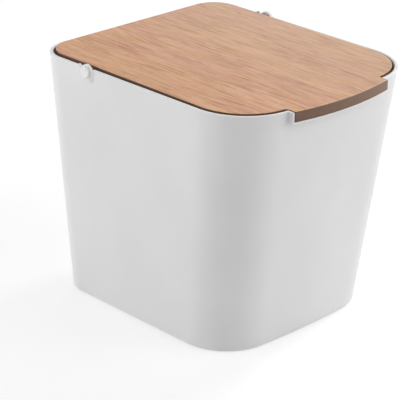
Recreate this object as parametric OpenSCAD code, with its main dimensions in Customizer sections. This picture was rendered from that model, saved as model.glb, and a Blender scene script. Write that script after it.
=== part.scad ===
// Push top countertop bin: a tapered plastic bin whose board lid tilts on two pins.
// Pressing the back of the lid swings its front up, and its own weight closes it.
// Millimetres, +Z up, front towards -Y, origin under the middle of the bin.

/* [Bin] */
// Width across the rim
rim_w = 180; // [150:1:230]
// Length of the rim, from its back to the line of the front corners
rim_l = 200; // [170:1:250]
// How far the front of the rim bows out past that line
rim_bow = 10.4; // [3:0.2:16]
// Corner radius of the rim, front
rim_front_r = 43.5; // [25:0.5:60]
// Corner radius of the rim, back
rim_back_r = 24.5; // [15:0.5:35]
// Height from the standing edge to the rim
bin_h = 184; // [140:1:240]
// Width across the standing edge
base_w = 157; // [130:1:180]
// How far the back wall leans in, from the rim to the standing edge
back_lean = 10.9; // [4:0.1:18]
// How far the front wall leans in at its corners
front_lean = 19.3; // [8:0.1:26]
// How far the front of the standing edge bows out
base_bow = 4.7; // [2:0.1:10]
// Corner radius of the standing edge, front
base_front_r = 39; // [22:0.5:50]
// Corner radius of the standing edge, back
base_back_r = 21; // [14:0.5:34]
// Wall thickness
wall_t = 2.2; // [1.6:0.1:3.5]
// Thickness of the stiffer band along the rim
rim_t = 2.55; // [2:0.05:4]
// Height of that band
rim_band_h = 9; // [6:0.5:20]
// Rounding of the rim's edges
rim_round = 0.7; // [0.3:0.1:0.9]
// Rounding of the standing edge
edge_round = 1.5; // [0.5:0.1:3]
// Floor thickness
floor_t = 2.4; // [1.6:0.1:4]
// Height of the floor's underside above the standing edge
floor_lift = 2.6; // [1.5:0.1:6]
// Width of the standing edge
edge_w = 4; // [3:0.5:8]
// Radius between the floor and the walls, inside
floor_round = 6; // [3:0.5:12]

/* [Front lip] */
// How far the middle of the lip stands out in front of the rim
lip_reach = 6.2; // [5:0.1:9]
// Radius of the lip's front, seen from above
lip_front_r = 212; // [150:2:260]
// Thickness of the lip's two cheeks
cheek_t = 2; // [1.5:0.1:4]
// Thickness of the ledge that the lid's tab rests on
ledge_t = 1.6; // [1.2:0.1:4]
// Rounding of the lip's outer edges
lip_round = 0.9; // [0.5:0.1:1.5]

/* [Lid] */
// Thickness of the board
board_t = 6.6; // [4.5:0.1:9]
// Thickness of the veneer on top
veneer_t = 0.5; // [0.4:0.1:1.2]
// Thickness of the backing sheet underneath
backing_t = 0.4; // [0.3:0.1:1]
// How far the lid's top stands above the rim, over the pins
lid_proud = 1.5; // [1.2:0.1:2.4]
// Angle by which the resting lid dips towards its tab
lid_dip = 0.37; // [0:0.01:0.5]
// Gap between the lid and the rim
lid_gap = 1.8; // [1.5:0.05:3]
// Width of the tab at the front
tab_w = 92.4; // [60:0.4:110]
// How far the tab's front lies behind the front of the lip
tab_setback = 0.2; // [0:0.1:1.5]
// Gap on each side of the tab
tab_gap = 0.5; // [0.3:0.05:1.2]
// Gap between the tab and the ledge
seat_gap = 0.1; // [0.05:0.05:0.3]
// Corner radius of the tab
tab_corner_r = 0.8; // [0.3:0.1:2]
// Radius where the tab's sides meet the lid's front edge
tab_root_r = 3; // [0.5:0.1:3.2]

/* [Hinge] */
// Distance from the back of the rim to the pins
pin_back = 55.3; // [40:0.1:80]
// Radius of a pin's shank in the board
shank_r = 1.5; // [1.2:0.05:2]
// Length of the shank in the board
shank_l = 15; // [8:0.5:30]
// Running clearance of the shank in its hole
shank_fit = 0.05; // [0.02:0.01:0.1]
// Radius of the collar that turns in the slot
collar_r = 5.1; // [4.9:0.1:6]
// Length of the collar
collar_l = 2.2; // [1.6:0.1:3]
// Clearance of the collar in the slot
collar_fit = 0.1; // [0.05:0.05:0.4]
// Radius of the round button outside the wall
button_r = 4.3; // [2.5:0.1:4.8]
// How far the button stands out from the boss
button_reach = 1.7; // [0.9:0.1:5]
// Rounding of the button's edge
button_round = 0.6; // [0.3:0.1:0.8]
// How far the boss round each slot stands out from the rim
boss_reach = 1; // [0.6:0.1:3]
// Thickness of the boss round the slot
boss_t = 1; // [0.7:0.1:2]
// Distance from the pin to the back of the boss
boss_back = 10.1; // [9.6:0.1:14]
// Radius of the boss's lower back corner
boss_corner_r = 4.5; // [2:0.5:5]
// How much wider the mouth of the slot is, each side
mouth_flare = 0.6; // [0:0.1:1.5]
// Depth of the widened mouth
mouth_depth = 1.4; // [0.5:0.1:2]
// Height of the hump on the boss behind each slot
hump_h = 1.3; // [0.5:0.1:2]
// Length of the hump
hump_l = 3.6; // [3:0.1:3.6]
// Distance from the pin back to the middle of the hump
hump_back = 8.2; // [8:0.1:8.3]

/* [Feet] */
// Radius of a foot pad
pad_r = 7; // [4:0.5:10]
// How far the pads stand below the standing edge
pad_proud = 0.6; // [0.3:0.1:2]
// Depth of the pocket that holds a pad
pocket_d = 0.5; // [0.2:0.1:1]
// Clearance around a pad in its pocket
pocket_fit = 0.3; // [0.1:0.1:1]
// Distance from the standing edge's sides to the middle of a pad
pad_inset = 27; // [20:0.5:45]
// Chamfer of a pad's lower edge
pad_chamfer = 0.4; // [0.1:0.1:0.8]

/* [Hidden] */

// Steps along a back corner, a front corner, half of the front, and a small rounding
back_steps = 12;
front_steps = 18;
bow_steps = 12;
round_steps = 6;
// Steps in the rounding of the rim and standing edge, and where the walls meet the floor
edge_steps = 3;
floor_steps = 4;
// How many times longer than deep the slope under the rim band is
band_slope = 4;
// Smoothness of the true cylinders and revolved shapes
$fn = 96;
// Overlap that lets one cut run past a face
past = 1;

lip_front_y = -(rim_l + rim_bow + lip_reach) / 2;
rim_back_y = -lip_front_y;
lip_cy = lip_front_y + lip_front_r;
edge_z = pad_proud;
rim_z = edge_z + bin_h;
floor_z = edge_z + floor_lift + floor_t;

lid_in = rim_t + lid_gap;
lid_t = veneer_t + board_t + backing_t;
lid_top_z = rim_z + lid_proud;
veneer_z = lid_top_z - veneer_t;
board_z = veneer_z - board_t;
lid_bottom_z = board_z - backing_t;
lip_half_w = tab_w / 2 + tab_gap + cheek_t;

pin_y = rim_back_y - pin_back;
pin_z = board_z + board_t / 2;
slot_r = collar_r + collar_fit;
boss_r = slot_r + boss_t;
boss_x = rim_w / 2 + boss_reach;

// The ledge lies under the front of the tab, which the dip has lowered
tab_dip = (pin_y - lip_front_y - tab_setback) * sin(lid_dip);
ledge_z = pin_z - (pin_z - lid_bottom_z) * cos(lid_dip) - tab_dip - seat_gap;
lip_bottom_z = ledge_z - ledge_t;

white = [0.93, 0.93, 0.92];
pin_white = [0.96, 0.96, 0.95];
oak = [0.81, 0.66, 0.54];
dark_board = [0.42, 0.33, 0.28];
backing_tan = [0.72, 0.58, 0.46];
pad_grey = [0.62, 0.62, 0.60];

// A value between its size at the standing edge (s = 0) and at the rim (s = 1)
function at(base, rim, s) = base + (rim - base) * s;
function half_w(s) = at(base_w, rim_w, s) / 2;
function back_y(s) = rim_back_y - at(back_lean, 0, s);
function corner_y(s) = rim_back_y - rim_l + at(front_lean, 0, s);
function bow(s) = at(base_bow, rim_bow, s);
function corner_r(s) = at(base_front_r, rim_front_r, s);
function heel_r(s) = at(base_back_r, rim_back_r, s);
// The front is one arc through both corner lines: its radius and the y of its centre
function front_r(s) = (half_w(s) ^ 2 + bow(s) ^ 2) / (2 * bow(s));
function front_cy(s) = corner_y(s) - bow(s) + front_r(s);

function arc(c, r, from, to, steps) =
    [for (i = [0:steps]) let (a = from + (to - from) * i / steps) c + r * [cos(a), sin(a)]];
// A list of points without its first, which the stretch before it already has
function rest(points) = [for (i = [1:len(points) - 1]) points[i]];
// The point at x on the front of a circle of radius r centred on [0, cy], and its angle there
function on_arc(cy, r, x) = [x, cy - sqrt(r ^ 2 - x ^ 2)];
function angle_on(cy, p) = atan2(p[1] - cy, p[0]);
// A right half, listed from the front centre to the back, closed with its mirror image
function closed(half) =
    concat(half, [for (i = [len(half) - 1:-1:1]) [-half[i][0], half[i][1]]]);

// The right side of the outline, from the front corner to the back, moved in by inset
function side_half(s, inset, from) =
    let (w = half_w(s) - inset, r = corner_r(s) - inset, h = heel_r(s) - inset,
         cy = front_cy(s), c = on_arc(cy, front_r(s) - inset - r, w - r), a = angle_on(cy, c))
    concat(arc([0, cy], front_r(s) - inset, from, a, bow_steps),
           rest(arc(c, r, a, 0, front_steps)),
           arc([w - h, back_y(s) - inset - h], h, 0, 90, back_steps));
function outline(s, inset) = closed(side_half(s, inset, -90));

// The lid's outline: the rim's own outline moved in, with the tab at the front
function lid_outline() =
    let (half = tab_w / 2, tab_front_r = lip_front_r - tab_setback,
         tip = on_arc(lip_cy, tab_front_r - tab_corner_r, half - tab_corner_r),
         tip_a = angle_on(lip_cy, tip),
         root = on_arc(front_cy(1), front_r(1) - lid_in + tab_root_r, half + tab_root_r),
         root_a = angle_on(front_cy(1), root))
    closed(concat(arc([0, lip_cy], tab_front_r, -90, tip_a, bow_steps),
                  rest(arc(tip, tab_corner_r, tip_a, 0, round_steps)),
                  arc(root, tab_root_r, 180, 180 + root_a, round_steps),
                  rest(side_half(1, lid_in, root_a))));

// A solid through rings of equally many points, each [height, points]
module loft(rings) {
    n = len(rings[0][1]);
    last = len(rings) - 1;
    points = [for (ring = rings) for (p = ring[1]) [p[0], p[1], ring[0]]];
    sides = [for (k = [0:last - 1]) for (i = [0:n - 1])
        let (a = k * n + i, b = k * n + (i + 1) % n)
        for (f = [[a, a + n, b + n], [a, b + n, b]]) f];
    bottom = [for (i = [0:n - 1]) i];
    top = [for (i = [n - 1:-1:0]) last * n + i];
    polyhedron(points, concat([bottom], sides, [top]));
}

function quarter(steps) = [for (i = [0:steps]) 90 * i / steps];
function level(z) = (z - edge_z) / bin_h;
function ring_at(z, inset) = [z, outline(level(z), inset)];

// The outside of the walls, with the standing edge and the rim rounded
module outside() {
    loft([for (a = quarter(edge_steps)) ring_at(edge_z + edge_round * (1 - cos(a)),
                                      edge_round * (1 - sin(a))),
          for (a = quarter(edge_steps)) ring_at(rim_z - rim_round * (1 - sin(a)),
                                      rim_round * (1 - cos(a)))]);
}

// The space inside, narrower along the rim band and rounded where it meets the floor
module inside() {
    band_z = rim_z - rim_band_h;
    step = rim_t - wall_t;
    loft([for (a = quarter(floor_steps)) ring_at(floor_z + floor_round * (1 - cos(a)),
                                        wall_t + floor_round * (1 - sin(a))),
          ring_at(band_z - band_slope * step, wall_t),
          ring_at(band_z, rim_t),
          for (a = quarter(edge_steps)) ring_at(rim_z - rim_round * (1 - sin(a)),
                                      rim_t - rim_round * (1 - cos(a))),
          [rim_z + lid_t, outline(1, rim_t - rim_round)]]);
}

// The lip: a ledge and two cheeks with a curved front, outer edges rounded
module lip() {
    out_r = lip_front_r;
    in_r = lip_front_r - lip_reach - rim_bow;
    sweep = 2 * asin((lip_half_w + past) / in_r);
    intersection() {
        translate([0, lip_cy, 0])
            rotate([0, 0, -90 - sweep / 2])
            rotate_extrude(angle = sweep)
            polygon(concat([[in_r, lip_bottom_z]],
                arc([out_r - lip_round, lip_bottom_z + lip_round], lip_round, -90, 0, round_steps),
                arc([out_r - lip_round, rim_z - lip_round], lip_round, 0, 90, round_steps),
                [[in_r, rim_z]]));
        translate([0, lip_front_y + rim_l / 2, 0])
            rotate([90, 0, 0])
            linear_extrude(rim_l)
            polygon(concat(
                arc([lip_half_w - lip_round, lip_bottom_z + lip_round], lip_round, -90, 0, round_steps),
                [[lip_half_w, rim_z], [-lip_half_w, rim_z]],
                arc([lip_round - lip_half_w, lip_bottom_z + lip_round], lip_round, 180, 270, round_steps)));
    }
}

// The opening above the ledge that the tab drops into
module tab_pocket() {
    half = tab_w / 2 + tab_gap;
    translate([-half, lip_front_y - past, ledge_z])
        cube([2 * half, rim_bow + lip_reach + rim_front_r, rim_z]);
}

// A U-shaped slot through both side walls, open at the rim
module pin_slot() {
    mouth = slot_r + mouth_flare;
    translate([0, pin_y, 0])
        rotate([90, 0, 90])
        linear_extrude(rim_w + 2 * lip_reach, center = true) {
            translate([0, pin_z]) circle(slot_r);
            translate([-slot_r, pin_z]) square([2 * slot_r, rim_z + past - pin_z]);
            polygon([[-slot_r, rim_z - mouth_depth], [slot_r, rim_z - mouth_depth],
                     [mouth, rim_z + past], [-mouth, rim_z + past]]);
        }
}

// The boss outside the wall round each slot, longer behind the pin, with a low hump on top
module slot_bosses() {
    hump_r = ((hump_l / 2) ^ 2 + hump_h ^ 2) / (2 * hump_h);
    corner = [boss_back - boss_corner_r, boss_corner_r - boss_r];
    inner_x = rim_w / 2 - wall_t / 2;
    for (side = [0, 1])
        mirror([side, 0, 0])
        translate([inner_x, pin_y, 0])
        rotate([90, 0, 90])
        linear_extrude(boss_x - inner_x) {
            translate([0, pin_z])
                polygon(concat(
                    [[boss_back, rim_z - pin_z], [-boss_r, rim_z - pin_z]],
                    arc([0, 0], boss_r, 180, 270, 2 * round_steps),
                    arc(corner, boss_corner_r, 270, 360, round_steps)));
            intersection() {
                translate([hump_back, rim_z + hump_h - hump_r]) circle(hump_r);
                translate([0, rim_z - past]) square([boss_back, hump_h + past]);
            }
        }
}

// The middle of a foot pad, seen from above: back = 1 or front = 0, side = -1 or 1
function pad_place(side, back) =
    [side * (base_w / 2 - pad_inset),
     back ? back_y(0) - pad_inset : corner_y(0) - bow(0) + pad_inset];

module bin_shell() {
    color(white)
        difference() {
            union() {
                outside();
                lip();
                slot_bosses();
            }
            inside();
            tab_pocket();
            pin_slot();
            translate([0, 0, edge_z - past])
                linear_extrude(floor_lift + past)
                polygon(outline(0, edge_w));
            for (side = [-1, 1], back = [0, 1])
                translate(concat(pad_place(side, back), edge_z))
                    cylinder(h = floor_lift + pocket_d, r = pad_r + pocket_fit);
        }
}

// One foot pad
module foot(side, back) {
    top_z = edge_z + floor_lift + pocket_d;
    color(pad_grey)
        translate(pad_place(side, back))
        rotate_extrude()
        polygon([[0, 0], [pad_r - pad_chamfer, 0], [pad_r, pad_chamfer], [pad_r, top_z], [0, top_z]]);
}

// One pin: shank in the board, collar in the slot, round button outside the boss
module hinge_pin(side) {
    collar_x = boss_x - collar_l;
    end_x = boss_x + button_reach;
    tip_x = rim_w / 2 - lid_in - shank_l;
    tip_chamfer = shank_r / 3;
    color(pin_white)
        translate([0, pin_y, pin_z])
        rotate([0, side * 90, 0])
        rotate_extrude()
        polygon(concat(
            [[0, tip_x], [shank_r - tip_chamfer, tip_x], [shank_r, tip_x + tip_chamfer],
             [shank_r, collar_x], [collar_r, collar_x], [collar_r, boss_x], [button_r, boss_x]],
            arc([button_r - button_round, end_x - button_round], button_round, 0, 90, round_steps),
            [[0, end_x]]));
}

// Turns the lid about its pins to the dip it rests at
module at_rest() {
    translate([0, pin_y, pin_z])
        rotate([lid_dip, 0, 0])
        translate([0, -pin_y, -pin_z])
        children();
}

// One flat layer of the lid, from the height z up
module lid_layer(z, thickness) {
    translate([0, 0, z])
        linear_extrude(thickness)
        polygon(lid_outline());
}

module lid_board() {
    hole_l = shank_l + past;
    color(dark_board)
        at_rest()
        difference() {
            lid_layer(board_z, board_t);
            for (side = [-1, 1])
                translate([side * (rim_w / 2 - lid_in - hole_l), pin_y, pin_z])
                    rotate([0, side * 90, 0])
                    cylinder(h = hole_l + past, r = shank_r + shank_fit);
        }
}

module lid_veneer() {
    color(oak) at_rest() lid_layer(veneer_z, veneer_t);
}

module lid_backing() {
    color(backing_tan) at_rest() lid_layer(lid_bottom_z, backing_t);
}

bin_shell();
foot(-1, 0);  // foot_front_left
foot(1, 0);  // foot_front_right
foot(-1, 1);  // foot_back_left
foot(1, 1);  // foot_back_right
hinge_pin(-1);  // hinge_pin_left
hinge_pin(1);  // hinge_pin_right
lid_board();
lid_veneer();
lid_backing();
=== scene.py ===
import math

import bmesh
import bpy
from mathutils import Matrix, Vector


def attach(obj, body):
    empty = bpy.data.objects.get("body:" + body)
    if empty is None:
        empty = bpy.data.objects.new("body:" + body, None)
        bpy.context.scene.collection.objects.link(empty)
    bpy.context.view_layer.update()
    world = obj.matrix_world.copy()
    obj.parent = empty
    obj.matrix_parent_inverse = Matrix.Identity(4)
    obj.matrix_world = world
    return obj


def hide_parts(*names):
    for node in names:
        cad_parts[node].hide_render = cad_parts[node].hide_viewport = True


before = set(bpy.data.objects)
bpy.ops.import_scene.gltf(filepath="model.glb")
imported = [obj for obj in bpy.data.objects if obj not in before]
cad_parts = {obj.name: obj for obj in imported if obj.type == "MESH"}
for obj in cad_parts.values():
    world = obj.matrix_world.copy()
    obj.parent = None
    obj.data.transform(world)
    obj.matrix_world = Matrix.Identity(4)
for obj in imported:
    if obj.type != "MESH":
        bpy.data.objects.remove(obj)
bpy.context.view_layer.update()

MM = 0.001

# ---------------------------------------------------------------- sizes, in mm

# The bin: its outline at the rim and at the foot, how far its back and front lean in towards
# the foot, its wall with the thicker band at the rim, and its floor with the standing edge.
RIM_W, RIM_L, RIM_BOW = 180, 200, 10.4
RIM_FRONT_R, RIM_BACK_R = 43.5, 24.5
BIN_H, BASE_W, BASE_BOW = 184, 157, 4.7
BASE_FRONT_R, BASE_BACK_R = 39, 21
BACK_LEAN, FRONT_LEAN = 10.9, 19.3
WALL_T, RIM_T, RIM_BAND_H, BAND_SLOPE = 2.2, 2.55, 9, 4
RIM_ROUND, EDGE_ROUND = 0.7, 1.5
FLOOR_T, FLOOR_LIFT, FLOOR_ROUND, EDGE_W = 2.4, 2.6, 6, 4

# The lip: a ledge under the lid's tab and a cheek at each end of it.
LIP_REACH, LIP_FRONT_R, CHEEK_T, LEDGE_T = 6.2, 212, 2, 1.6
LIP_ROUND, LIP_CORNER_R, CHEEK_ROUND, CUT_ROUND = 0.9, 2, 0.8, 0.4

# The lid, which rests with its front dipped by LID_DIP degrees, and its tab.
BOARD_T, VENEER_T, BACKING_T = 6.6, 0.5, 0.4
BOARD_ROUND, VENEER_ROUND, BACKING_ROUND = 0.12, 0.4, 0.2
LID_PROUD, LID_DIP, LID_GAP = 1.5, 0.37, 1.8
TAB_W, TAB_SETBACK, TAB_GAP, SEAT_GAP = 92.4, 0.2, 0.5, 0.1
TAB_CORNER_R, TAB_ROOT_R = 0.8, 3

# The pins, and on the bin their slots with the bosses and humps beside them.
PIN_BACK, SHANK_R, SHANK_L, SHANK_FIT = 55.3, 1.5, 15, 0.05
COLLAR_R, COLLAR_L, COLLAR_FIT, COLLAR_ROUND = 5.1, 2.2, 0.1, 0.2
BUTTON_R, BUTTON_REACH, BUTTON_ROUND = 4.3, 1.7, 0.6
MOUTH_FLARE, MOUTH_DEPTH, SLOT_ROUND = 0.6, 1.4, 0.2
BOSS_REACH, BOSS_T, BOSS_BACK, BOSS_CORNER_R = 1, 1, 10.1, 4.5
BOSS_ROUND, BOSS_DRAFT, BOSS_FOOT_X = 0.6, 2.8, 89.5
HUMP_H, HUMP_L, HUMP_BACK = 1.3, 3.6, 8.2

# The pads under the floor.
PAD_R, PAD_PROUD, POCKET_D, POCKET_FIT, PAD_INSET, PAD_ROUND = 7, 0.6, 0.5, 0.3, 27, 0.4

LIP_Y = -(RIM_L + RIM_BOW + LIP_REACH) / 2
BACK_Y = -LIP_Y
LIP_CY = LIP_Y + LIP_FRONT_R
EDGE_Z = PAD_PROUD
RIM_Z = EDGE_Z + BIN_H
FLOOR_Z = EDGE_Z + FLOOR_LIFT + FLOOR_T
LID_IN = RIM_T + LID_GAP
LID_TOP_Z = RIM_Z + LID_PROUD
BOARD_TOP_Z = LID_TOP_Z - VENEER_T
BOARD_Z = BOARD_TOP_Z - BOARD_T
LID_Z = BOARD_Z - BACKING_T
LIP_HALF_W = TAB_W / 2 + TAB_GAP + CHEEK_T
PIN_Y = BACK_Y - PIN_BACK
PIN_Z = BOARD_Z + BOARD_T / 2
SLOT_R = COLLAR_R + COLLAR_FIT
BOSS_R = SLOT_R + BOSS_T
BOSS_X = RIM_W / 2 + BOSS_REACH
TAB_DIP = (PIN_Y - LIP_Y - TAB_SETBACK) * math.sin(math.radians(LID_DIP))
LEDGE_Z = PIN_Z - (PIN_Z - LID_Z) * math.cos(math.radians(LID_DIP)) - TAB_DIP - SEAT_GAP
LIP_Z = LEDGE_Z - LEDGE_T

# How many steps a curve is drawn in.
BOW_STEPS, CORNER_STEPS, HEEL_STEPS, SMALL_STEPS = 14, 28, 18, 6
EDGE_STEPS, RIM_STEPS, FLOOR_STEPS = 5, 4, 8
SLOT_STEPS, BOSS_STEPS, HUMP_STEPS, TURN_STEPS = 32, 18, 14, 64

# How far a tool reaches past what it cuts, within what two points are one, and within what an
# edge counts as on a line or beside it.
PAST, DRAWN_APART, ON, BESIDE = 1, 0.004, 0.01, 0.1
SMOOTH_BELOW = 35        # degrees between two faces

ALONG_X, ALONG_Y, ALONG_Z = (1, 0, 0), (0, 1, 0), (0, 0, 1)
SIDES = (("left", -1), ("right", 1))

# ---------------------------------------------------------------- stain, light and camera

EDGE_STAIN = "614533"    # the board's, which the edges of the sheets on it took up too

# To the camera the floor is white: FLOOR_SHADE of it takes light and shadow, and FLOOR_WHITE
# shines by itself. It turns plain white from WHITE_FROM to WHITE_AT mm from the middle.
FLOOR_SIZE = 8           # metres
FLOOR_SHADE, FLOOR_WHITE = 0.55, 0.545
WHITE_FROM, WHITE_AT = 700, 1500
ROOM_LIGHT = 0.41

# Each lamp's name, place and size in metres, and power in watts. All aim at one point.
LAMP_AIM = (0, 0, 0.09)
LAMPS = (
    ("softbox_back_left_low", (-1.1, 1.0, 0.3), (1.2, 0.5), 8.47),
    ("softbox_left_high", (-1.1, 0.3, 1.2), (1.0, 0.8), 1.2),
    ("softbox_front_low", (1.0, -1.1, 0.3), (1.2, 0.5), 1.13),
    ("softbox_front", (1.0, -1.0, 0.6), (1.0, 0.8), 4.14),
    ("softbox_front_high", (0.3, -1.1, 1.2), (1.0, 0.8), 4.17),
    ("key_right_back", (1.2, 0.7, 1.0), (0.5, 0.5), 0.8),
    ("key_back", (0.9, 1.0, 1.1), (0.6, 0.6), 1.94),
    ("key_right", (1.4, 0.04, 0.9), (0.2, 0.2), 6.3))

# Where the camera stands, in degrees and mm about the point that it looks at, and its lens.
CAMERA_AZIMUTH, CAMERA_ELEVATION, CAMERA_ROLL = 44.734, 23.537, 0.87
CAMERA_TARGET, CAMERA_DISTANCE = (-18.437, 12.201, 77.207), 1325.963
CAMERA_LENS, CAMERA_SENSOR = 164.462, 36
CAMERA_NEAR, CAMERA_FAR = 0.05, 50


# ---------------------------------------------------------------- drawing

def take(piece):
    """Selects one piece alone, to work on."""
    bpy.ops.object.select_all(action="DESELECT")
    piece.select_set(True)
    bpy.context.view_layer.objects.active = piece


def open_piece(piece):
    take(piece)
    bpy.ops.object.mode_set(mode="EDIT")


def new_piece(name):
    """An empty mesh at the origin, open for drawing."""
    bpy.ops.object.select_all(action="DESELECT")
    bpy.ops.object.add(type="MESH")
    piece = bpy.context.object
    piece.name = piece.data.name = name
    bpy.ops.object.mode_set(mode="EDIT")
    bpy.ops.mesh.select_mode(type="VERT")
    return piece


def pick_all():
    bpy.ops.mesh.select_all(action="SELECT")


def put_by():
    """Hides what is drawn so far, so that the next operators leave it alone."""
    pick_all()
    bpy.ops.mesh.hide(unselected=False)


def merge():
    """Merges the points that lie on each other, where a drawing closes on itself."""
    pick_all()
    bpy.ops.mesh.remove_doubles(threshold=DRAWN_APART * MM)
    pick_all()


def close_piece():
    """Joins all that was drawn to one skin that faces outwards."""
    bpy.ops.mesh.reveal(select=False)
    merge()
    bpy.ops.mesh.normals_make_consistent(inside=False)
    bpy.ops.object.mode_set(mode="OBJECT")


def point(x, y, z):
    """One point to draw on from."""
    bpy.ops.mesh.primitive_plane_add(size=MM, location=(x * MM, y * MM, z * MM))
    bpy.ops.mesh.merge(type="CENTER")


def draw_out(dx, dy, dz=0):
    """Carries on in a straight line: a point draws an edge, and a face raises a solid."""
    bpy.ops.mesh.extrude_region_move(
        TRANSFORM_OT_translate={"value": (dx * MM, dy * MM, dz * MM)})


def arc(cx, cy, cz, angle, steps, axis=ALONG_Z):
    """Carries the drawing on along an arc, anticlockwise about axis for a positive angle."""
    bpy.ops.mesh.spin(steps=steps, angle=-math.radians(angle),
                      center=(cx * MM, cy * MM, cz * MM), axis=axis)


def fill(draw, ring):
    """A face inside one outline, where ring is what draw is given."""
    draw(*ring)
    merge()
    bpy.ops.mesh.edge_face_add()


def extruded(name, draw, ring, dx, dy, dz):
    """A solid made of one outline, drawn out."""
    piece = new_piece(name)
    fill(draw, ring)
    draw_out(dx, dy, dz)
    close_piece()
    return piece


def lofted(name, draw, rings):
    """A solid through a row of outlines, its two ends filled."""
    piece = new_piece(name)
    for end in (rings[0], rings[-1]):
        fill(draw, end)
        put_by()
    for ring, next_ring in zip(rings, rings[1:]):
        draw(*ring)
        draw(*next_ring)
        merge()
        bpy.ops.mesh.bridge_edge_loops()
        put_by()
    close_piece()
    return piece


def disc(name, x, y, z, radius, height):
    piece = new_piece(name)
    bpy.ops.mesh.primitive_circle_add(vertices=TURN_STEPS, radius=radius * MM, fill_type="NGON",
                                      location=(x * MM, y * MM, z * MM))
    pick_all()
    draw_out(0, 0, height)
    close_piece()
    return piece


def pick_edges(sharper, test):
    """Selects the outward edges that turn by more than sharper degrees and whose middle, in mm,
    passes the test."""
    bpy.ops.mesh.select_mode(type="EDGE")
    bpy.ops.mesh.select_all(action="DESELECT")
    mesh = bmesh.from_edit_mesh(bpy.context.object.data)
    for edge in mesh.edges:
        turn = edge.calc_face_angle_signed(0)
        middle = (edge.verts[0].co + edge.verts[1].co) / 2 / MM
        edge.select_set(turn > math.radians(sharper) and test(middle))
    bmesh.update_edit_mesh(bpy.context.object.data)


def round_edges(piece, radius, test, sharper=60, segments=3):
    open_piece(piece)
    pick_edges(sharper, test)
    bpy.ops.mesh.bevel(offset=radius * MM, segments=segments)
    bpy.ops.object.mode_set(mode="OBJECT")


def join_or_cut(piece, tool, operation):
    """Joins a tool to a piece or cuts it out of it, and throws the tool away."""
    take(piece)
    bpy.ops.object.modifier_add(type="BOOLEAN")
    step = piece.modifiers[-1]
    step.operation = operation
    step.solver = "MANIFOLD"
    step.object = tool
    bpy.ops.object.modifier_apply(modifier=step.name)
    bpy.data.objects.remove(tool)


# ---------------------------------------------------------------- outlines

def mirrored(half):
    """The moves of the left half, from the back centre to the front centre."""
    left = []
    for kind, *move in reversed(half):
        if kind == "arc":
            (x, y), angle, steps = move
            left.append(("arc", (-x, y), angle, steps))
        else:
            ((dx, dy),) = move
            left.append(("line", (dx, -dy)))
    return left


def outline(start, half, z):
    """Draws a closed outline from the front centre round the right side and back up the left."""
    point(*start, z)
    for kind, *move in half + mirrored(half):
        if kind == "arc":
            (x, y), angle, steps = move
            arc(x, y, z, angle, steps)
        else:
            draw_out(*move[0])


def on_arc(cy, r, x):
    """The point at x on the front of an arc about (0, cy)."""
    return x, cy - math.sqrt(r * r - x * x)


def angle_on(cy, p):
    return math.degrees(math.atan2(p[1] - cy, p[0]))


def side_moves(level, inset, start):
    """The front's arc, from the angle start, and on to the back centre, moved in by inset. The
    level is 0 at the foot and 1 at the rim."""
    def between(base, rim):
        return base + (rim - base) * level
    half_w = between(BASE_W, RIM_W) / 2
    bow = between(BASE_BOW, RIM_BOW)
    corner_y = BACK_Y - RIM_L + between(FRONT_LEAN, 0)
    front_r = (half_w * half_w + bow * bow) / (2 * bow)
    front_cy = corner_y - bow + front_r
    corner_r = between(BASE_FRONT_R, RIM_FRONT_R) - inset
    heel_r = between(BASE_BACK_R, RIM_BACK_R) - inset
    half_w -= inset
    front_r -= inset
    corner = on_arc(front_cy, front_r - corner_r, half_w - corner_r)
    corner_a = angle_on(front_cy, corner)
    heel_x = half_w - heel_r
    heel_y = BACK_Y - between(BACK_LEAN, 0) - inset - heel_r
    return front_cy, front_r, [
        ("arc", (0, front_cy), corner_a - start, BOW_STEPS),
        ("arc", corner, -corner_a, CORNER_STEPS),
        ("line", (0, heel_y - corner[1])),
        ("arc", (heel_x, heel_y), 90, HEEL_STEPS),
        ("line", (-heel_x, 0))]


def wall_line(z, inset, level=None):
    """The bin's outline at a height, moved in by inset."""
    if level is None:
        level = (z - EDGE_Z) / BIN_H
    front_cy, front_r, moves = side_moves(level, inset, -90)
    outline((0, front_cy - front_r), moves, z)


def lid_line(z):
    """The lid's outline, with its tab."""
    half = TAB_W / 2
    tab_r = LIP_FRONT_R - TAB_SETBACK
    tip = on_arc(LIP_CY, tab_r - TAB_CORNER_R, half - TAB_CORNER_R)
    tip_a = angle_on(LIP_CY, tip)
    front_cy, front_r, _ = side_moves(1, LID_IN, -90)
    root = on_arc(front_cy, front_r + TAB_ROOT_R, half + TAB_ROOT_R)
    root_a = angle_on(front_cy, root)
    moves = [
        ("arc", (0, LIP_CY), tip_a + 90, BOW_STEPS),
        ("arc", tip, -tip_a, SMALL_STEPS),
        ("line", (0, root[1] - tip[1])),
        ("arc", root, root_a, SMALL_STEPS),
        *side_moves(1, LID_IN, root_a)[2]]
    outline((0, LIP_CY - tab_r), moves, z)


def lip_line(z):
    """The lip's outline: its bowed front, and its sides back into the wall."""
    x, y = on_arc(LIP_CY, LIP_FRONT_R, LIP_HALF_W)
    point(-x, y, z)
    arc(0, LIP_CY, z, 2 * (angle_on(LIP_CY, (x, y)) + 90), 2 * BOW_STEPS)
    draw_out(0, LIP_REACH + RIM_BOW)
    draw_out(-2 * x, 0)


def pocket_line(z):
    """The room for the tab, from in front of the lip to inside the bin."""
    half = TAB_W / 2 + TAB_GAP
    point(-half, LIP_Y - PAST, z)
    draw_out(2 * half, 0)
    draw_out(0, LIP_REACH + RIM_BOW + RIM_FRONT_R)
    draw_out(-2 * half, 0)


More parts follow.
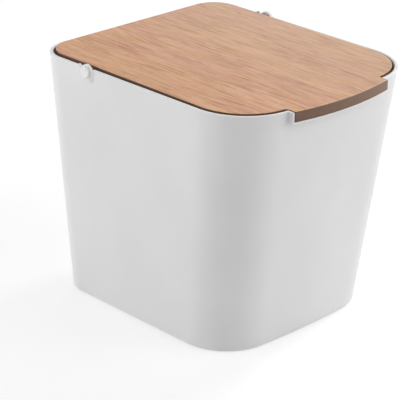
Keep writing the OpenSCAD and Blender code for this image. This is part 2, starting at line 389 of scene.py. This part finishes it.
def slot_line(x):
    """A pin's slot from the side: a U with a flared mouth."""
    point(x, PIN_Y - SLOT_R - MOUTH_FLARE, RIM_Z + PAST)
    draw_out(0, MOUTH_FLARE, -PAST - MOUTH_DEPTH)
    draw_out(0, 0, PIN_Z - (RIM_Z - MOUTH_DEPTH))
    arc(x, PIN_Y, PIN_Z, 180, SLOT_STEPS, axis=ALONG_X)
    draw_out(0, 0, RIM_Z - MOUTH_DEPTH - PIN_Z)
    draw_out(0, MOUTH_FLARE, PAST + MOUTH_DEPTH)


def shank_line(x):
    """The hole for a pin's shank, from the side."""
    point(x, PIN_Y, PIN_Z + SHANK_R + SHANK_FIT)
    arc(0, PIN_Y, PIN_Z, 360, SLOT_STEPS, axis=ALONG_X)


def boss_line(x, grow):
    """A boss from the side, moved out by grow, with the low hump on top of its back."""
    r, back, corner_r = BOSS_R + grow, BOSS_BACK + grow, BOSS_CORNER_R + grow
    hump_r = ((HUMP_L / 2) ** 2 + HUMP_H ** 2) / (2 * HUMP_H)
    hump_turn = 2 * math.degrees(math.asin(HUMP_L / 2 / hump_r))
    point(x, PIN_Y - r, RIM_Z)
    draw_out(0, 0, PIN_Z - RIM_Z)
    arc(x, PIN_Y, PIN_Z, 90, BOSS_STEPS, axis=ALONG_X)
    draw_out(0, back - corner_r)
    arc(x, PIN_Y + back - corner_r, PIN_Z - r + corner_r, 90, HUMP_STEPS, axis=ALONG_X)
    draw_out(0, 0, RIM_Z - PIN_Z + r - corner_r)
    draw_out(0, HUMP_BACK + HUMP_L / 2 - back)
    arc(x, PIN_Y + HUMP_BACK, RIM_Z + HUMP_H - hump_r, hump_turn, HUMP_STEPS, axis=ALONG_X)
    draw_out(0, HUMP_L / 2 - HUMP_BACK - r)


# ---------------------------------------------------------------- the bin

def quarter(steps):
    """The angles of a quarter turn."""
    return [math.radians(90 * i / steps) for i in range(steps + 1)]


def foot_rings(z, inset, r, steps):
    """A rounding from the level z up to a wall that is moved in by inset."""
    return [(z + r * (1 - math.cos(a)), inset + r * (1 - math.sin(a))) for a in quarter(steps)]


def rim_rings(inset, way):
    """The rim's rounding, from a wall that is moved in by inset: inwards for 1, outwards for -1."""
    return [(RIM_Z - RIM_ROUND * (1 - math.sin(a)), inset + way * RIM_ROUND * (1 - math.cos(a)))
            for a in quarter(RIM_STEPS)]


def outside():
    rings = foot_rings(EDGE_Z, 0, EDGE_ROUND, EDGE_STEPS) + rim_rings(0, 1)
    return lofted("bin_housing", wall_line, rings)


def inside():
    """The hollow, narrower in the rim's band. Its last ring lies past the rim, at its size."""
    band_z = RIM_Z - RIM_BAND_H
    rings = foot_rings(FLOOR_Z, WALL_T, FLOOR_ROUND, FLOOR_STEPS)
    rings += [(band_z - BAND_SLOPE * (RIM_T - WALL_T), WALL_T), (band_z, RIM_T)]
    rings += rim_rings(RIM_T, -1) + [(RIM_Z + PAST, RIM_T - RIM_ROUND, 1)]
    return lofted("hollow", wall_line, rings)


def recess():
    """The hollow under the floor, which leaves the standing edge."""
    rings = [(EDGE_Z - PAST, EDGE_W, 0), (EDGE_Z + FLOOR_LIFT, EDGE_W, 0)]
    return lofted("recess", wall_line, rings)


def lip():
    """The block that the tab's pocket is cut into, with its outer edges rounded."""
    piece = extruded("lip", lip_line, (LIP_Z,), 0, 0, RIM_Z - LIP_Z)
    corner_y = on_arc(LIP_CY, LIP_FRONT_R, LIP_HALF_W)[1]

    def under_side(p):
        return abs(p.x) > LIP_HALF_W - BESIDE and p.z < LIP_Z + BESIDE

    def upright(p):
        return abs(p.x) > LIP_HALF_W - BESIDE and p.y < corner_y + BESIDE

    def front(p):
        return p.y < corner_y + 1.5 * CHEEK_ROUND and (p.z < LIP_Z + ON or p.z > RIM_Z - ON)

    round_edges(piece, LIP_CORNER_R, under_side, sharper=30, segments=6)
    round_edges(piece, CHEEK_ROUND, upright, sharper=30, segments=4)
    round_edges(piece, LIP_ROUND, front, sharper=30, segments=5)
    return piece


def boss(side):
    """The boss outside the wall round a slot, its sides sloping out to a wider foot."""
    piece = lofted("boss", boss_line, [
        (side * (RIM_W - WALL_T) / 2, BOSS_DRAFT), (side * BOSS_FOOT_X, BOSS_DRAFT),
        (side * BOSS_X, 0)])
    round_edges(piece, BOSS_ROUND, lambda p: abs(p.x) > BOSS_X - ON, sharper=20, segments=4)
    return piece


def pad_places():
    """Each pad's place in words and its x and y."""
    front = BACK_Y - RIM_L + FRONT_LEAN - BASE_BOW + PAD_INSET
    back = BACK_Y - BACK_LEAN - PAD_INSET
    for end_name, y in (("front", front), ("back", back)):
        for side_name, side in SIDES:
            yield end_name + "_" + side_name, side * (BASE_W / 2 - PAD_INSET), y


def housing():
    """The moulded bin: lip and bosses joined to it, the hollows, pocket and slots cut out of it."""
    reach = BOSS_X + PAST
    piece = outside()
    for block in (lip(), boss(-1), boss(1)):
        join_or_cut(piece, block, "UNION")
    for tool in (inside(), recess(),
                 extruded("pocket", pocket_line, (LEDGE_Z,), 0, 0, RIM_Z + PAST - LEDGE_Z),
                 extruded("slot", slot_line, (-reach,), 2 * reach, 0, 0)):
        join_or_cut(piece, tool, "DIFFERENCE")
    for _, x, y in pad_places():
        tool = disc("pad_pocket", x, y, EDGE_Z, PAD_R + POCKET_FIT, FLOOR_LIFT + POCKET_D)
        join_or_cut(piece, tool, "DIFFERENCE")

    def at_pocket(p):
        return p.z > LIP_Z - PAST and p.y < 0 and abs(p.x) < LIP_HALF_W + PAST

    def at_slot(p):
        return (abs(p.x) > RIM_W / 2 - RIM_T - PAST and p.z > PIN_Z - SLOT_R - PAST / 2
                and abs(p.y - PIN_Y) < SLOT_R + MOUTH_FLARE)

    round_edges(piece, CUT_ROUND, at_pocket, sharper=50)
    round_edges(piece, SLOT_ROUND, at_slot, sharper=50)
    return piece


def foot_pad(name, x, y):
    piece = disc(name, x, y, 0, PAD_R, PAD_PROUD + FLOOR_LIFT + POCKET_D)
    round_edges(piece, PAD_ROUND, lambda p: p.z < ON)
    return piece


# ---------------------------------------------------------------- the lid and its pins

def lid_layer(name, z, height, rounded, radius, segments):
    """One layer of the lid, with the edges at the heights in rounded rounded off."""
    piece = extruded(name, lid_line, (z,), 0, 0, height)
    round_edges(piece, radius, lambda p: any(abs(p.z - edge) < ON for edge in rounded),
                segments=segments)
    return piece


def core_board():
    """The board, with a hole in each side for a pin's shank."""
    piece = lid_layer("lid_core_board", BOARD_Z, BOARD_T, (BOARD_Z, BOARD_TOP_Z), BOARD_ROUND, 2)
    for _, side in SIDES:
        start = side * (RIM_W / 2 - LID_IN + PAST)
        tool = extruded("shank_hole", shank_line, (start,), -side * (SHANK_L + 2 * PAST), 0, 0)
        join_or_cut(piece, tool, "DIFFERENCE")
    return piece


def oak_top():
    return lid_layer("lid_oak_top", BOARD_TOP_Z, VENEER_T, (LID_TOP_Z,), VENEER_ROUND, 5)


def underside():
    return lid_layer("lid_underside", LID_Z, BACKING_T, (LID_Z,), BACKING_ROUND, 2)


def dip(piece):
    """Turns a piece of the lid about the pins to the dip that it rests at."""
    open_piece(piece)
    pick_all()
    bpy.ops.transform.rotate(value=-math.radians(LID_DIP), orient_axis="X",
                             center_override=(0, PIN_Y * MM, PIN_Z * MM))
    bpy.ops.object.mode_set(mode="OBJECT")


def pin(side, name):
    """A pin, turned: shank, collar and round button, drawn from the tip outwards."""
    collar_x = BOSS_X - COLLAR_L
    tip_x = RIM_W / 2 - LID_IN - SHANK_L
    chamfer = SHANK_R / 3
    piece = new_piece(name)
    point(side * tip_x, PIN_Y, PIN_Z)
    for dx, dr in ((0, SHANK_R - chamfer), (chamfer, chamfer),
                   (collar_x - tip_x - chamfer, 0), (0, COLLAR_R - SHANK_R),
                   (COLLAR_L, 0), (0, BUTTON_R - COLLAR_R),
                   (BUTTON_REACH - BUTTON_ROUND, 0)):
        draw_out(side * dx, 0, dr)
    arc(side * (BOSS_X + BUTTON_REACH - BUTTON_ROUND), PIN_Y, PIN_Z + BUTTON_R - BUTTON_ROUND,
        side * 90, SMALL_STEPS, axis=ALONG_Y)
    draw_out(0, 0, BUTTON_ROUND - BUTTON_R)
    pick_all()
    arc(0, PIN_Y, PIN_Z, 360, TURN_STEPS, axis=ALONG_X)
    close_piece()
    round_edges(piece, COLLAR_ROUND, lambda p: abs(p.x) > RIM_W / 2 - LID_IN)
    return piece


# ---------------------------------------------------------------- finishes

def srgb(colour):
    """A hex colour as linear light."""
    parts = [int(colour[i:i + 2], 16) / 255 for i in (0, 2, 4)]
    return [p / 12.92 if p <= 0.04045 else ((p + 0.055) / 1.055) ** 2.4 for p in parts] + [1]


def add(material, kind, inputs=None, stops=(), **settings):
    """Adds a node and gives back its outputs. An input is a value or the output that feeds it,
    and stops are the (place, hex colour) stops of a colour ramp."""
    node = material.node_tree.nodes.new("ShaderNode" + kind)
    for name, value in settings.items():
        setattr(node, name, value)
    for place, value in (inputs or {}).items():
        if isinstance(value, bpy.types.NodeSocket):
            material.node_tree.links.new(value, node.inputs[place])
        else:
            node.inputs[place].default_value = value
    for _ in stops[2:]:
        node.color_ramp.elements.new(0.5)
    for number, (place, colour) in enumerate(stops):
        node.color_ramp.elements[number].position = place
        node.color_ramp.elements[number].color = srgb(colour)
    return node.outputs


def blank(name):
    material = bpy.data.materials.new(name)
    material.use_nodes = True
    material.node_tree.nodes.clear()
    return material


def in_mm(material, stretch=(1, 1, 1)):
    """Object coordinates in mm, shrunk along the axes that a pattern is stretched on."""
    place = add(material, "TexCoord")["Object"]
    scale = [1 / (MM * k) for k in stretch]
    return add(material, "Mapping", {"Vector": place, "Scale": scale})["Vector"]


def satin_polypropylene():
    """Injection-moulded polypropylene with a fine satin spark-eroded texture: an even milky
    white that light sinks a little way into, with soft wide highlights, a grain of about 0.5 mm
    and the faint waviness of a thin moulded wall."""
    m = blank("polypropylene_white_satin_moulded")
    mm = in_mm(m)
    flow = add(m, "TexNoise", {"Vector": mm, "Scale": 1 / 60, "Detail": 3})["Fac"]
    wave = add(m, "TexNoise", {"Vector": mm, "Scale": 1 / 42, "Detail": 1})["Fac"]
    grain = add(m, "TexNoise", {"Vector": mm, "Scale": 1 / 0.5, "Detail": 2,
                                "Roughness": 0.6})["Fac"]
    scuffs = add(m, "TexNoise", {"Vector": in_mm(m, (14, 14, 1)), "Scale": 1 / 0.8,
                                 "Detail": 3})["Fac"]
    colour = add(m, "ValToRGB", {"Fac": flow}, stops=((0.3, "E4E4E4"), (0.7, "E9E9E9")))["Color"]
    roughness = add(m, "MapRange", {"Value": scuffs, "From Min": 0.3, "From Max": 0.7,
                                    "To Min": 0.36, "To Max": 0.44})["Result"]
    shallow = add(m, "Bump", {"Height": wave, "Strength": 0.25, "Distance": 0.15 * MM})["Normal"]
    fine = add(m, "Bump", {"Height": grain, "Normal": shallow, "Strength": 0.35,
                           "Distance": 0.012 * MM})["Normal"]
    skin = add(m, "BsdfPrincipled", {"Base Color": colour, "Roughness": roughness, "Normal": fine,
                                     "IOR": 1.49, "Subsurface Weight": 0.3,
                                     "Subsurface Radius": (1, 1, 1), "Subsurface Scale": 0.8 * MM})
    add(m, "OutputMaterial", {"Surface": skin["BSDF"]})
    return m


def moulded_acetal():
    """Smooth moulded acetal: a slightly brighter, waxier and glossier white than the bin's."""
    m = blank("acetal_white_smooth_moulded")
    mm = in_mm(m)
    cloud = add(m, "TexNoise", {"Vector": mm, "Scale": 1 / 6, "Detail": 2})["Fac"]
    grain = add(m, "TexNoise", {"Vector": mm, "Scale": 1 / 0.4, "Detail": 2})["Fac"]
    wear = add(m, "TexNoise", {"Vector": mm, "Scale": 1 / 1.5, "Detail": 2})["Fac"]
    colour = add(m, "ValToRGB", {"Fac": cloud}, stops=((0.3, "EDEDEB"), (0.7, "F1F1F0")))["Color"]
    roughness = add(m, "MapRange", {"Value": wear, "From Min": 0.3, "From Max": 0.7,
                                    "To Min": 0.28, "To Max": 0.36})["Result"]
    fine = add(m, "Bump", {"Height": grain, "Strength": 0.2, "Distance": 0.01 * MM})["Normal"]
    skin = add(m, "BsdfPrincipled", {"Base Color": colour, "Roughness": roughness, "Normal": fine,
                                     "IOR": 1.48})
    add(m, "OutputMaterial", {"Surface": skin["BSDF"]})
    return m


def silicone_rubber():
    """Moulded silicone rubber: matt grey, with dust that pales it in patches."""
    m = blank("silicone_rubber_grey_matt")
    mm = in_mm(m)
    dust = add(m, "TexNoise", {"Vector": mm, "Scale": 1 / 3, "Detail": 4, "Roughness": 0.6})["Fac"]
    grain = add(m, "TexNoise", {"Vector": mm, "Scale": 1 / 0.5, "Detail": 3})["Fac"]
    colour = add(m, "ValToRGB", {"Fac": dust}, stops=((0.3, "7F7F7C"), (0.7, "A3A39F")))["Color"]
    roughness = add(m, "MapRange", {"Value": dust, "To Min": 0.66, "To Max": 0.8})["Result"]
    fine = add(m, "Bump", {"Height": grain, "Strength": 0.4, "Distance": 0.03 * MM})["Normal"]
    skin = add(m, "BsdfPrincipled", {"Base Color": colour, "Roughness": roughness, "Normal": fine,
                                     "IOR": 1.41})
    add(m, "OutputMaterial", {"Surface": skin["BSDF"]})
    return m


def oak_veneer():
    """Rift-cut oak veneer under matt lacquer: fine straight grain from front to back, in broad
    bands that drift between tan and pink, with growth lines about a millimetre apart, short dark
    pores, and a painted sheen that pales it towards the right. Real pores are 0.2 mm wide; here
    they are 0.5 mm, so that they show. The rounded arris carries a painted highlight, paler than
    the top, and the edge below it is stained with the board's."""
    m = blank("oak_veneer_rift_cut_matt_lacquer")
    mm = in_mm(m)
    slow = add(m, "TexNoise", {"Vector": in_mm(m, (1, 4, 1)), "Scale": 1 / 26, "Detail": 1})["Fac"]
    shift = add(m, "MapRange", {"Value": slow, "From Min": 0.3, "From Max": 0.7,
                                "To Min": -2.4, "To Max": 2.4})["Result"]
    sway = add(m, "CombineXYZ", {"X": shift})["Vector"]
    swayed = add(m, "VectorMath", {0: mm, 1: sway}, operation="ADD")["Vector"]

    def along_grain(width, stretch, detail, roughness=0.5):
        """Marks of a width in mm, stretched along the grain."""
        place = add(m, "VectorMath", {0: swayed, 1: (1, 1 / stretch, 1)},
                    operation="MULTIPLY")["Vector"]
        return add(m, "TexNoise", {"Vector": place, "Scale": 1 / width, "Detail": detail,
                                   "Roughness": roughness})["Fac"]

    bands = along_grain(15, 8, 3, 0.55)
    growth = along_grain(1.1, 40, 2)
    fibres = along_grain(0.8, 24, 2)
    pores = along_grain(0.5, 14, 1)
    flecks = along_grain(2.6, 2.2, 3, 0.6)
    wood = add(m, "ValToRGB", {"Fac": bands}, stops=(
        (0.32, "C2804A"), (0.44, "D29268"), (0.55, "CC9152"), (0.68, "DCA276")))["Color"]
    lines = add(m, "ValToRGB", {"Fac": growth}, stops=(
        (0.38, "B88458"), (0.52, "FFFFFF"), (0.66, "FFF4E2")))["Color"]
    wood = add(m, "Mix", {0: 0.6, 6: wood, 7: lines}, data_type="RGBA", blend_type="MULTIPLY")[2]
    pale = add(m, "MapRange", {"Value": fibres, "From Min": 0.48, "From Max": 0.66,
                               "To Min": 0, "To Max": 0.6})["Result"]
    wood = add(m, "Mix", {0: pale, 6: wood, 7: srgb("E4B68B")}, data_type="RGBA")[2]
    dark = add(m, "MapRange", {"Value": pores, "From Min": 0.58, "From Max": 0.72,
                               "To Min": 0, "To Max": 0.5})["Result"]
    wood = add(m, "Mix", {0: dark, 6: wood, 7: srgb("A06C46")}, data_type="RGBA")[2]
    ray = add(m, "MapRange", {"Value": flecks, "From Min": 0.52, "From Max": 0.72,
                              "To Min": 0, "To Max": 0.3})["Result"]
    wood = add(m, "Mix", {0: ray, 6: wood, 7: srgb("DDAD82")}, data_type="RGBA")[2]
    across = add(m, "SeparateXYZ", {0: mm})["X"]
    # painted sheen: paler and greyer towards the right, standing in for the gloss of the lamps on
    # that side
    painted_sheen = add(m, "MapRange", {"Value": across, "From Min": -50, "From Max": 80,
                                   "To Min": 0, "To Max": 0.22})["Result"]
    wood = add(m, "Mix", {0: painted_sheen, 6: wood, 7: srgb("C9BDAE")}, data_type="RGBA")[2]
    facing_up = add(m, "SeparateXYZ", {0: add(m, "TexCoord")["Normal"]})["Z"]
    # painted highlight: the rounded arris, tilted from the top, is painted paler as the light it
    # catches
    painted_arris_highlight = add(m, "MapRange", {"Value": facing_up, "From Min": 0.98, "From Max": 0.85,
                                 "To Min": 0, "To Max": 0.35})["Result"]
    wood = add(m, "Mix", {0: painted_arris_highlight, 6: wood, 7: srgb("F3D5B8")}, data_type="RGBA")[2]
    stained = add(m, "MapRange", {"Value": facing_up, "From Min": 0.5, "From Max": 0.3})["Result"]
    wood = add(m, "Mix", {0: stained, 6: wood, 7: srgb(EDGE_STAIN)}, data_type="RGBA")[2]
    relief = add(m, "Math", {0: pores, 1: growth}, operation="ADD")["Value"]
    bumps = add(m, "Bump", {"Height": relief, "Strength": 0.25, "Distance": 0.03 * MM},
                invert=True)["Normal"]
    roughness = add(m, "MapRange", {"Value": growth, "From Min": 0.3, "From Max": 0.7,
                                    "To Min": 0.52, "To Max": 0.44})["Result"]
    skin = add(m, "BsdfPrincipled", {"Base Color": wood, "Roughness": roughness, "Normal": bumps,
                                     "IOR": 1.5})
    add(m, "OutputMaterial", {"Surface": skin["BSDF"]})
    return m


def sealed_fibreboard():
    """Fibreboard, sawn, stained dark brown and sealed: fine streaks of fibres that lie flat in
    the board, in a stain that it took up unevenly, under a thin satin coat of sealer. Towards
    the right it is painted paler, as painted light from the lamp on that side."""
    m = blank("fibreboard_edge_stained_sealed")
    mm = in_mm(m)
    layers = add(m, "TexNoise", {"Vector": in_mm(m, (10, 10, 1)), "Scale": 1 / 0.6, "Detail": 3,
                                 "Roughness": 0.6})["Fac"]
    clumps = add(m, "TexNoise", {"Vector": mm, "Scale": 1 / 6, "Detail": 3})["Fac"]
    colour = add(m, "ValToRGB", {"Fac": clumps},
                 stops=((0.3, EDGE_STAIN), (0.7, "6A4C38")))["Color"]
    streaks = add(m, "MapRange", {"Value": layers, "From Min": 0.35, "From Max": 0.7,
                                  "To Min": 0, "To Max": 0.5})["Result"]
    colour = add(m, "Mix", {0: streaks, 6: colour, 7: srgb("7F5F47")}, data_type="RGBA")[2]
    across = add(m, "SeparateXYZ", {0: mm})["X"]
    # painted light: the edge is painted paler towards the right, where the lamp on that side lights
    # it
    painted_right_light = add(m, "MapRange", {"Value": across, "From Min": -40, "From Max": 60,
                               "To Min": 0, "To Max": 0.32})["Result"]
    colour = add(m, "Mix", {0: painted_right_light, 6: colour, 7: srgb("A0785A")}, data_type="RGBA")[2]
    roughness = add(m, "MapRange", {"Value": layers, "From Min": 0.3, "From Max": 0.7,
                                    "To Min": 0.34, "To Max": 0.46})["Result"]
    bumps = add(m, "Bump", {"Height": layers, "Strength": 0.35, "Distance": 0.03 * MM})["Normal"]
    skin = add(m, "BsdfPrincipled", {"Base Color": colour, "Roughness": roughness, "Normal": bumps,
                                     "IOR": 1.5})
    add(m, "OutputMaterial", {"Surface": skin["BSDF"]})
    return m


def melamine_paper():
    """Melamine-soaked paper in a plain light wood tone: a nearly even colour with a faint pressed
    grain. Its edge is stained with the board's."""
    m = blank("melamine_paper_light_wood_tone")
    mm = in_mm(m)
    grain = add(m, "TexNoise", {"Vector": in_mm(m, (1, 30, 1)), "Scale": 1 / 1.2,
                                "Detail": 3})["Fac"]
    cloud = add(m, "TexNoise", {"Vector": mm, "Scale": 1 / 25, "Detail": 2})["Fac"]
    colour = add(m, "ValToRGB", {"Fac": grain}, stops=((0.3, "C29A7B"), (0.7, "CDA688")))["Color"]
    patches = add(m, "MapRange", {"Value": cloud, "From Min": 0.3, "From Max": 0.7,
                                  "To Min": 0, "To Max": 0.3})["Result"]
    colour = add(m, "Mix", {0: patches, 6: colour, 7: srgb("C9A184")}, data_type="RGBA")[2]
    facing_down = add(m, "SeparateXYZ", {0: add(m, "TexCoord")["Normal"]})["Z"]
    stained = add(m, "MapRange", {"Value": facing_down, "From Min": -0.8,
                                  "From Max": -0.6})["Result"]
    colour = add(m, "Mix", {0: stained, 6: colour, 7: srgb(EDGE_STAIN)}, data_type="RGBA")[2]
    bumps = add(m, "Bump", {"Height": grain, "Strength": 0.2, "Distance": 0.02 * MM})["Normal"]
    skin = add(m, "BsdfPrincipled", {"Base Color": colour, "Normal": bumps, "IOR": 1.5,
                                     "Roughness": 0.5})
    add(m, "OutputMaterial", {"Surface": skin["BSDF"]})
    return m


def seen_straight(material):
    """1 for what the camera sees itself or through gloss or glass, 0 for what only gives light."""
    path = add(material, "LightPath")
    straight = add(material, "Math", {0: path["Is Camera Ray"], 1: path["Is Glossy Ray"]},
                   operation="ADD")["Value"]
    return add(material, "Math", {0: straight, 1: path["Is Transmission Ray"]},
               operation="ADD", use_clamp=True)["Value"]


def paper_floor():
    """Matt white paper: white to the camera apart from the object's soft shadow, and plain white
    far from it, where the lamps' light falls off."""
    m = blank("paper_white_matt")
    fibres = add(m, "TexNoise", {"Vector": in_mm(m), "Scale": 1 / 400, "Detail": 2})["Fac"]
    colour = add(m, "ValToRGB", {"Fac": fibres}, stops=((0.3, "F3F3F3"), (0.7, "F5F5F5")))["Color"]
    matt = add(m, "BsdfDiffuse", {"Color": colour})["BSDF"]
    shaded = add(m, "BsdfDiffuse", {"Color": [FLOOR_SHADE] * 3 + [1]})["BSDF"]
    lit = add(m, "Emission", {"Strength": FLOOR_WHITE})["Emission"]
    seen = add(m, "AddShader", {0: shaded, 1: lit})["Shader"]
    away = add(m, "VectorMath", {0: in_mm(m)}, operation="LENGTH")["Value"]
    far = add(m, "MapRange", {"Value": away, "From Min": WHITE_FROM,
                              "From Max": WHITE_AT})["Result"]
    white = add(m, "Emission", {"Strength": 1})["Emission"]
    seen = add(m, "MixShader", {"Fac": far, 1: seen, 2: white})["Shader"]
    both = add(m, "MixShader", {"Fac": seen_straight(m), 1: matt, 2: seen})["Shader"]
    add(m, "OutputMaterial", {"Surface": both})
    return m


# ---------------------------------------------------------------- stage

def room():
    """The studio's walls: an even light, and white to the camera."""
    world = bpy.data.worlds.new("studio")
    bpy.context.scene.world = world
    world.use_nodes = True
    world.node_tree.nodes.clear()
    soft = add(world, "Background", {"Color": (1, 1, 1, 1), "Strength": ROOM_LIGHT})["Background"]
    white = add(world, "Background", {"Color": (1, 1, 1, 1), "Strength": 1})["Background"]
    both = add(world, "MixShader", {"Fac": seen_straight(world), 1: soft, 2: white})["Shader"]
    add(world, "OutputWorld", {"Surface": both})


def lamp(name, place, size, power):
    bpy.ops.object.light_add(type="AREA", location=place)
    softbox = bpy.context.object
    softbox.name = name
    softbox.rotation_euler = (Vector(LAMP_AIM) - Vector(place)).to_track_quat("-Z", "Y").to_euler()
    softbox.data.shape = "RECTANGLE"
    softbox.data.size, softbox.data.size_y = size
    softbox.data.energy = power


def photo_camera():
    """The photograph's viewpoint: in front and to the left, looking down, with a long lens."""
    azimuth, elevation, roll = map(math.radians, (CAMERA_AZIMUTH, CAMERA_ELEVATION, CAMERA_ROLL))
    back = Vector((-math.sin(azimuth) * math.cos(elevation),
                   -math.cos(azimuth) * math.cos(elevation), math.sin(elevation)))
    right = Vector((math.cos(azimuth), -math.sin(azimuth), 0))
    up = back.cross(right)
    level = Matrix((right, up, back)).transposed()
    turned = level @ Matrix.Rotation(roll, 3, "Z")
    place = Vector(CAMERA_TARGET) * MM + back * (CAMERA_DISTANCE * MM)
    bpy.ops.object.camera_add()
    camera = bpy.context.object
    camera.name = "photo_camera"
    camera.matrix_world = Matrix.Translation(place) @ turned.to_4x4()
    camera.data.lens = CAMERA_LENS
    camera.data.sensor_width = CAMERA_SENSOR
    camera.data.clip_start, camera.data.clip_end = CAMERA_NEAR, CAMERA_FAR
    bpy.context.scene.camera = camera


# ---------------------------------------------------------------- making

def smooth(piece):
    """Smooth shading across shallow edges, led by the larger faces."""
    take(piece)
    bpy.ops.object.shade_smooth_by_angle(angle=math.radians(SMOOTH_BELOW))
    bpy.ops.object.modifier_add(type="WEIGHTED_NORMAL")
    piece.modifiers[-1].keep_sharp = True
    bpy.ops.object.modifier_apply(modifier=piece.modifiers[-1].name)


def dress(piece, material):
    piece.data.materials.clear()
    piece.data.materials.append(material)


def finish_piece(piece, body, node, slot_name):
    smooth(piece)
    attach(piece, body)
    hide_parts(node)
    dress(piece, FINISHES[slot_name])


FINISHES = {"white_plastic": satin_polypropylene(), "pin_plastic": moulded_acetal(),
            "pad_rubber": silicone_rubber(), "oak_veneer": oak_veneer(),
            "dark_fibreboard": sealed_fibreboard(), "backing_sheet": melamine_paper()}

finish_piece(housing(), "bin", "bin_shell", "white_plastic")
for layer, node, slot_name in ((core_board(), "lid_board", "dark_fibreboard"),
                               (oak_top(), "lid_veneer", "oak_veneer"),
                               (underside(), "lid_backing", "backing_sheet")):
    dip(layer)
    finish_piece(layer, "lid", node, slot_name)
for side_name, side in SIDES:
    piece = pin(side, "lid_pin_" + side_name)
    finish_piece(piece, "hinge_pins", "hinge_pin_" + side_name, "pin_plastic")
for place, x, y in pad_places():
    finish_piece(foot_pad("pad_" + place, x, y), "bin", "foot_" + place, "pad_rubber")

bpy.ops.mesh.primitive_plane_add(size=FLOOR_SIZE)
floor = bpy.context.object
floor.name = "floor"
dress(floor, paper_floor())
room()
for name, place, size, power in LAMPS:
    lamp(name, place, size, power)
photo_camera()

bpy.context.scene.view_settings.view_transform = "Standard"
